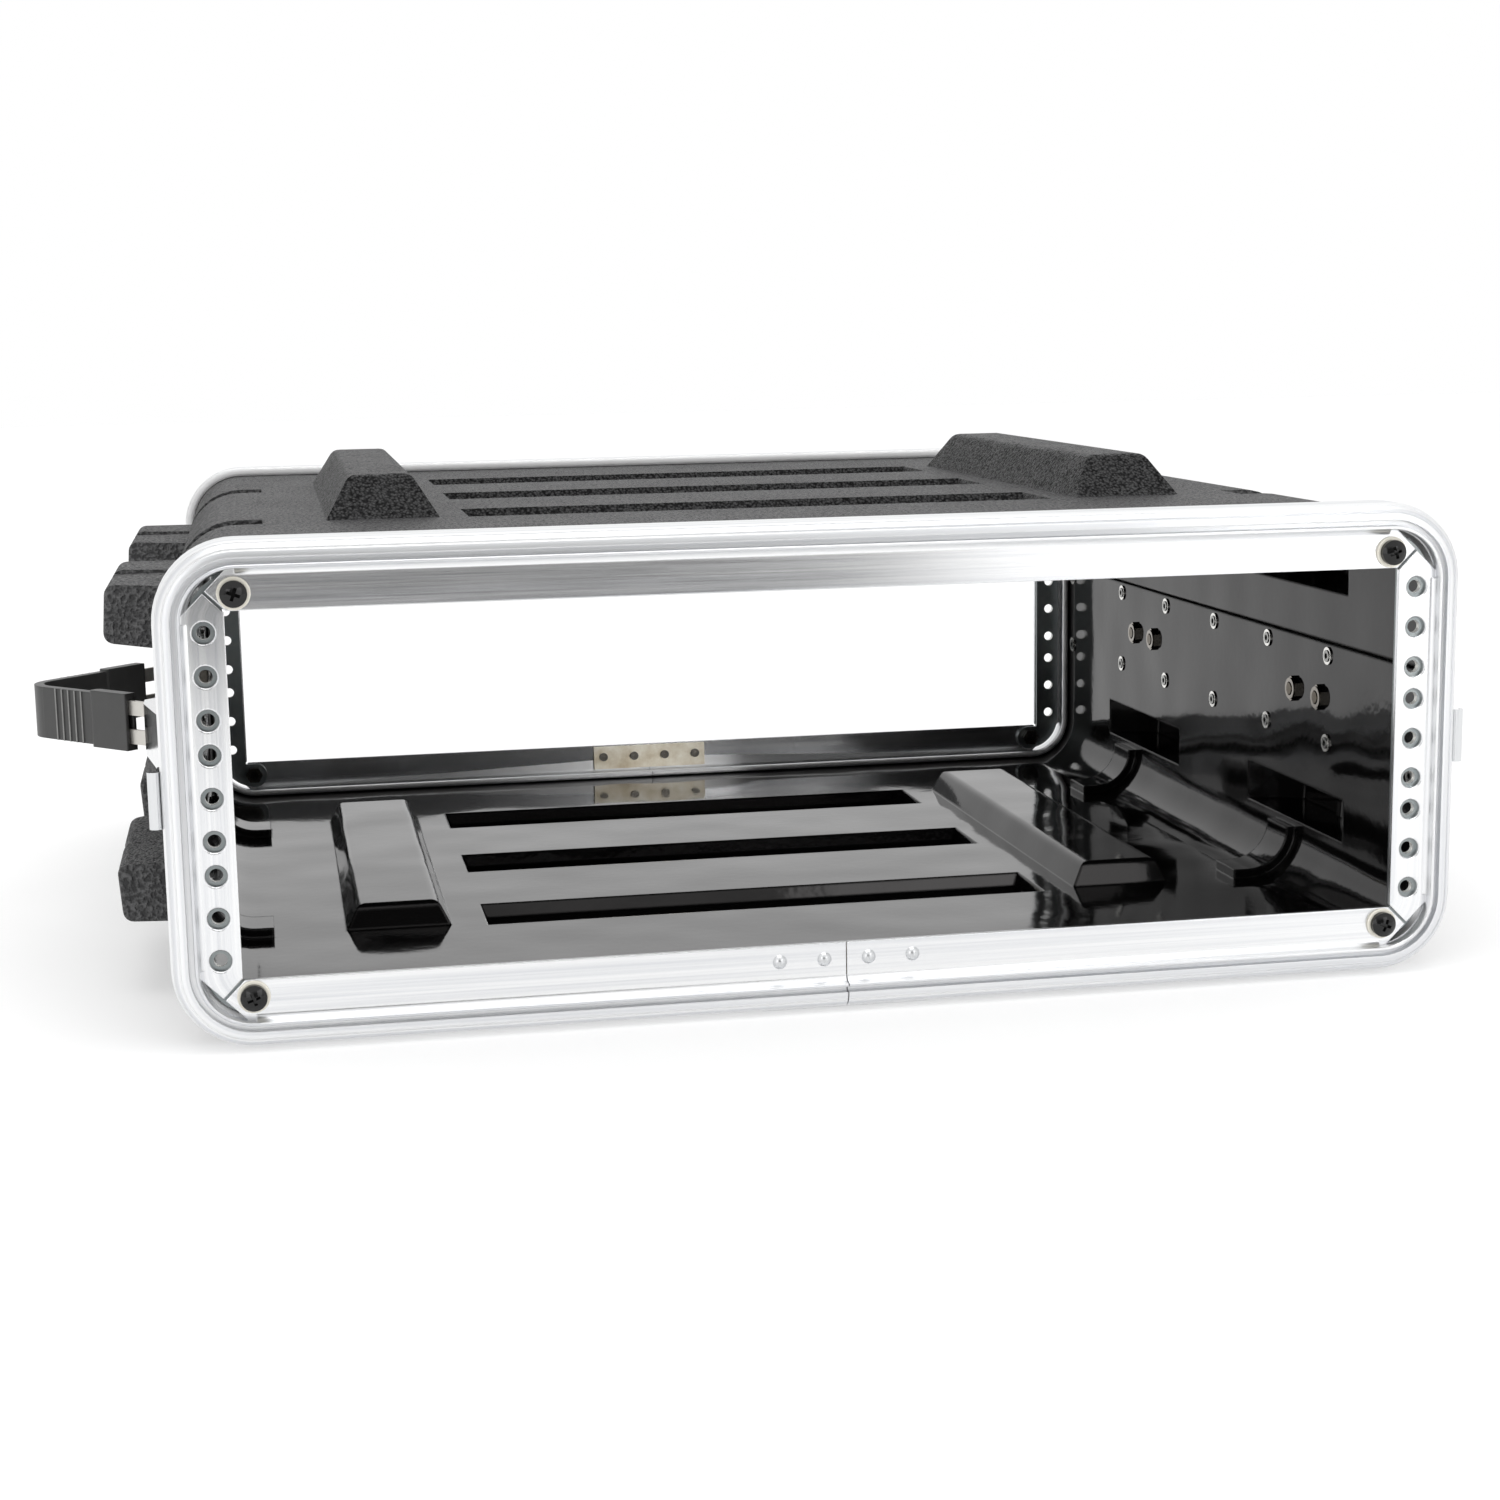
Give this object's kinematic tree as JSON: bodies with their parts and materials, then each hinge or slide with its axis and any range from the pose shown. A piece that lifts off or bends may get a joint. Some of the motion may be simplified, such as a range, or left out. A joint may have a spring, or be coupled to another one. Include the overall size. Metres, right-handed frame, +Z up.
{
  "type": "rack case",
  "caption": "Shallow black plastic rack case, open at front and rear, with bent aluminium frames, punched rack rails, stacking bumps and a strap handle on each side.",
  "frame": {"origin": "on the ground under the middle of the case", "axes": "+X to the right seen from the front, +Y from the front opening to the rear one, +Z up"},
  "size_m": [0.6282, 0.4842, 0.2015],
  "materials": {
    "case_plastic": "pebbled outside, glossy inside",
    "frame_aluminium": "fine lengthwise brushing",
    "splice_steel": "nickel plated",
    "rivet_aluminium": "plain",
    "rail_zinc": "zinc plated",
    "keeper_chrome": "bright",
    "bracket_chrome": "bright",
    "link_steel": "nickel plated",
    "screw_black": "black oxide",
    "washer_nylon": "cream nylon",
    "washer_nickel": "nickel plated",
    "nut_nickel": "nickel plated",
    "grip_rubber": "satin"
  },
  "bodies": {
    "root": {"corner_nuts_front": "nut_nickel", "corner_nuts_rear": "nut_nickel", "corner_screws_front": "screw_black", "corner_screws_rear": "screw_black", "corner_washers_front": "washer_nylon", "corner_washers_rear": "washer_nylon", "front_frame": "frame_aluminium", "front_joint_strip": "frame_aluminium", "front_splice_plate": "splice_steel", "front_splice_rivets": "rivet_aluminium", "handle_bolts_left": "nut_nickel", "handle_bolts_right": "nut_nickel", "handle_bracket_left_front": "bracket_chrome", "handle_bracket_left_rear": "bracket_chrome", "handle_bracket_right_front": "bracket_chrome", "handle_bracket_right_rear": "bracket_chrome", "handle_grip_left": "grip_rubber", "handle_grip_right": "grip_rubber", "handle_link_left_front": "link_steel", "handle_link_left_rear": "link_steel", "handle_link_right_front": "link_steel", "handle_link_right_rear": "link_steel", "handle_nuts_left": "nut_nickel", "handle_nuts_right": "nut_nickel", "keeper_rivets_front": "keeper_chrome", "keeper_rivets_rear": "keeper_chrome", "latch_keeper_front_left": "keeper_chrome", "latch_keeper_front_right": "keeper_chrome", "latch_keeper_rear_left": "keeper_chrome", "latch_keeper_rear_right": "keeper_chrome", "lower_shell": "case_plastic", "rack_rail_front_left": "rail_zinc", "rack_rail_front_right": "rail_zinc", "rack_rail_rear_left": "rail_zinc", "rack_rail_rear_right": "rail_zinc", "rear_frame": "frame_aluminium", "rear_joint_strip": "frame_aluminium", "rear_splice_plate": "splice_steel", "rear_splice_rivets": "rivet_aluminium", "rivet_washers_left": "washer_nickel", "rivet_washers_right": "washer_nickel", "shell_rivets_left": "rivet_aluminium", "shell_rivets_right": "rivet_aluminium", "upper_shell": "case_plastic"}
  },
  "joints": []
}
